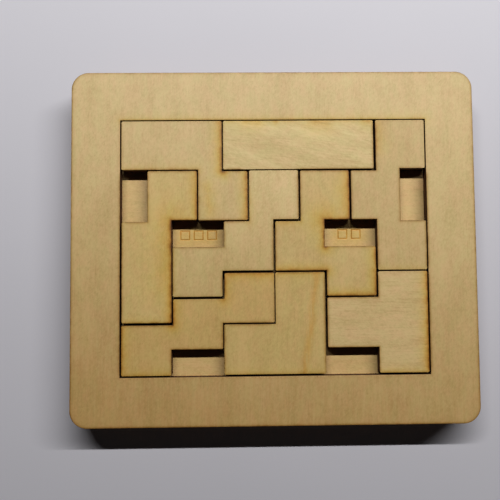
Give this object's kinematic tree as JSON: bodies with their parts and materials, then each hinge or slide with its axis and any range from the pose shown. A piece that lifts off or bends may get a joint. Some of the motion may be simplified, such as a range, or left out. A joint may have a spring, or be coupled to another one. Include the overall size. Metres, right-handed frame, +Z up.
{
  "type": "tray packing puzzle",
  "caption": "Shallow plywood tray with loose flat tiles, each made of squares joined along whole or half sides, packed so that small pockets of the tray's floor stay open.",
  "frame": {"origin": "middle of the tray's underside, which the puzzle rests on", "axes": "+X across the tray along its longer side, +Y away from the user, +Z up out of the tray"},
  "size_m": [0.119, 0.104, 0.0117],
  "materials": {
    "base_wood": "bare pale plywood with scorched laser-cut edges",
    "floor_wood": "bare pale plywood with a lightly engraved mark",
    "frame_wood": "bare pale plywood with scorched laser-cut edges",
    "tile_wood": "bare pale plywood with scorched laser-cut edges, grain front to back",
    "tile_wood_across": "bare pale plywood with scorched laser-cut edges, grain left to right"
  },
  "bodies": {
    "tray": {"base_sheet": "base_wood", "floor_sheet": "floor_wood", "window_frame": "frame_wood"},
    "flag": {"tile_flag": "tile_wood"},
    "bar": {"tile_bar": "tile_wood_across"},
    "chevron": {"tile_chevron": "tile_wood"},
    "crank": {"tile_crank": "tile_wood"},
    "dogleg": {"tile_dogleg": "tile_wood"},
    "elbow": {"tile_elbow": "tile_wood"},
    "tee": {"tile_tee": "tile_wood_across"},
    "corner": {"tile_corner": "tile_wood"},
    "stair": {"tile_stair": "tile_wood"}
  },
  "joints": [
    {"name": "flag_lift", "type": "slide", "parent": "tray", "child": "flag", "axis": [0, 0, 1], "range_m": [0, 0.012]},
    {"name": "bar_lift", "type": "slide", "parent": "tray", "child": "bar", "axis": [0, 0, 1], "range_m": [0, 0.012]},
    {"name": "chevron_lift", "type": "slide", "parent": "tray", "child": "chevron", "axis": [0, 0, 1], "range_m": [0, 0.012]},
    {"name": "crank_lift", "type": "slide", "parent": "tray", "child": "crank", "axis": [0, 0, 1], "range_m": [0, 0.012]},
    {"name": "dogleg_lift", "type": "slide", "parent": "tray", "child": "dogleg", "axis": [0, 0, 1], "range_m": [0, 0.012]},
    {"name": "elbow_lift", "type": "slide", "parent": "tray", "child": "elbow", "axis": [0, 0, 1], "range_m": [0, 0.012]},
    {"name": "tee_lift", "type": "slide", "parent": "tray", "child": "tee", "axis": [0, 0, 1], "range_m": [0, 0.012]},
    {"name": "corner_lift", "type": "slide", "parent": "tray", "child": "corner", "axis": [0, 0, 1], "range_m": [0, 0.012]},
    {"name": "stair_lift", "type": "slide", "parent": "tray", "child": "stair", "axis": [0, 0, 1], "range_m": [0, 0.012]}
  ]
}
